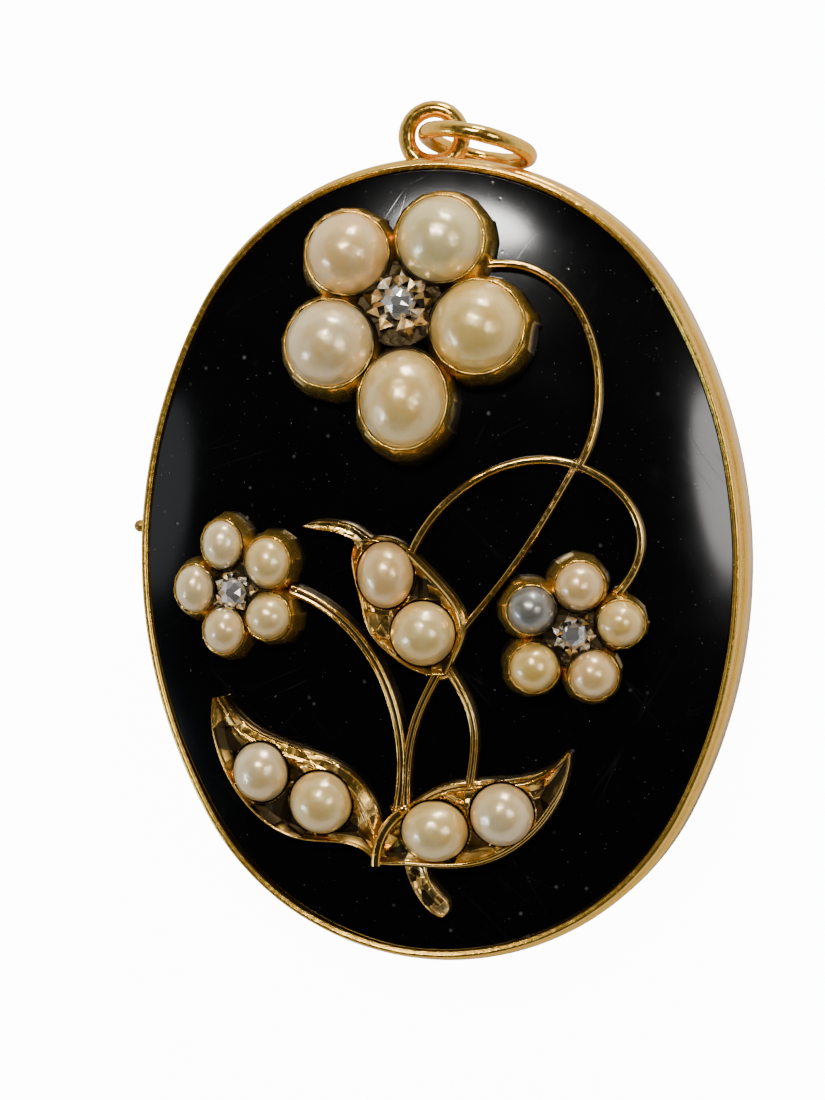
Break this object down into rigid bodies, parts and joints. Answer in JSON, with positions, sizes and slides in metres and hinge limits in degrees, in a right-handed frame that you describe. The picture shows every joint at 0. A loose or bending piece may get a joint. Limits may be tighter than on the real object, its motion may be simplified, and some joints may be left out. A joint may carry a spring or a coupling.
{
  "type": "brooch pendant",
  "caption": "Oval brooch pendant: gold case round a domed black stone, with a gold flower spray set with half pearls and rose-cut stones, a loose ring in the top eye and a pin behind.",
  "frame": {"origin": "middle of the bounding box at its bottom, where the pin fittings lie on the table", "axes": "+Z out of the jewelled face, +Y towards the eye and jump ring, +X to the right as seen from the front; the brooch lies on its back"},
  "size_m": [0.038, 0.0514, 0.0131],
  "materials": {
    "case_gold": "worn satin gold",
    "antique_gold": "antique gold with dark tarnish in the recesses",
    "ring_gold": "polished gold",
    "black_stone": "polished, lightly scratched",
    "cream_pearl": "pearl lustre",
    "golden_pearl": "pearl lustre",
    "grey_pearl": "pearl lustre",
    "diamond": "faceted"
  },
  "bodies": {
    "brooch": {"case": "case_gold", "plaque": "black_stone", "spray": "antique_gold", "brooch_pin": "ring_gold", "pearl_big_1": "cream_pearl", "pearl_big_2": "cream_pearl", "pearl_big_3": "golden_pearl", "pearl_big_4": "cream_pearl", "pearl_big_5": "cream_pearl", "pearl_left_1": "cream_pearl", "pearl_left_2": "cream_pearl", "pearl_left_3": "cream_pearl", "pearl_left_4": "cream_pearl", "pearl_left_5": "cream_pearl", "pearl_right_1": "cream_pearl", "pearl_right_2": "cream_pearl", "pearl_right_3": "cream_pearl", "pearl_right_4": "golden_pearl", "pearl_right_5": "grey_pearl", "pearl_leaf_1": "cream_pearl", "pearl_leaf_2": "cream_pearl", "pearl_leaf_3": "cream_pearl", "pearl_leaf_4": "cream_pearl", "pearl_bud_1": "cream_pearl", "pearl_bud_2": "cream_pearl", "diamond_big": "diamond", "diamond_left": "diamond", "diamond_right": "diamond"},
    "jump_ring": {"jump_ring": "ring_gold"}
  },
  "joints": [
    {"name": "ring_swing", "type": "hinge", "parent": "brooch", "child": "jump_ring", "pos_m": [0.00039, 0.02354, 0.0036], "axis": [0, 0, 1], "range_deg": [0, 198]}
  ]
}
